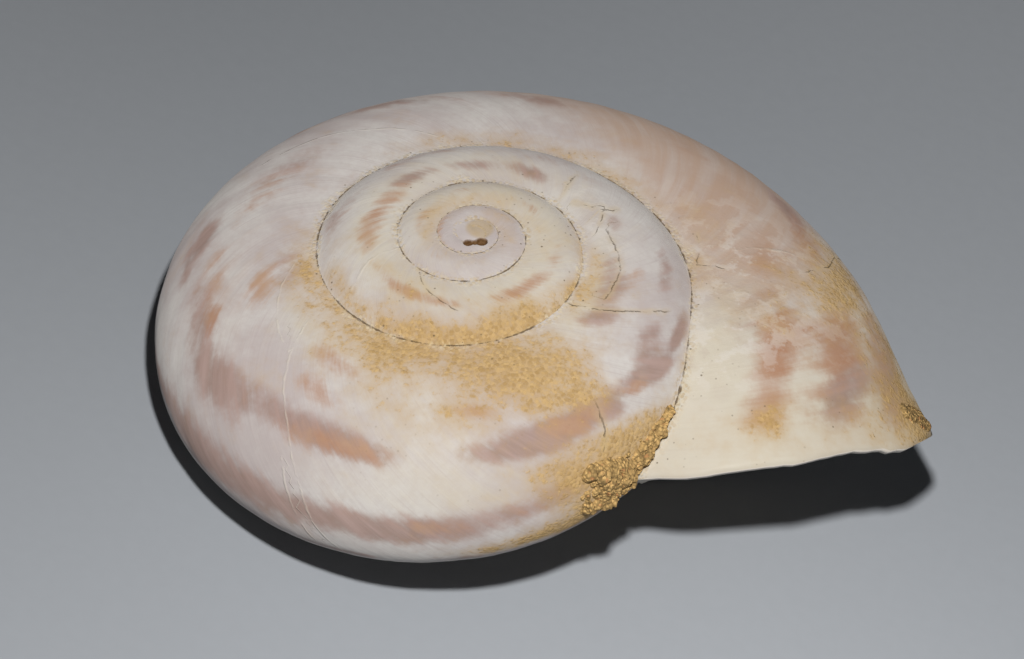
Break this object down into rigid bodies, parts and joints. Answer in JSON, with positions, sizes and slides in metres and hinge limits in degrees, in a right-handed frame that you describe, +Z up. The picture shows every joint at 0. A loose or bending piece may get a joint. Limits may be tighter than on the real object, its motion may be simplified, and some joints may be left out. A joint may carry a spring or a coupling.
{
  "type": "land snail shell",
  "caption": "Empty land snail shell, a low right-handed spiral lying mouth down, with a broken lip and soil caked in its last seam.",
  "frame": {"origin": "centre of the footprint, on the surface that the shell rests on", "axes": "+Z up as the shell rests, +X along its longest side, towards the mouth's outer lip, -Y towards the viewer of the picture"},
  "size_m": [0.0344, 0.0294, 0.0163],
  "materials": {
    "shell_wall": "weathered shell lime, satin, cream with broken mauve-brown bands",
    "soil": "dry ochre soil, matt and crumbly"
  },
  "bodies": {
    "root": {"shell": "shell_wall", "suture_soil": "soil", "lip_soil": "soil"}
  },
  "joints": []
}
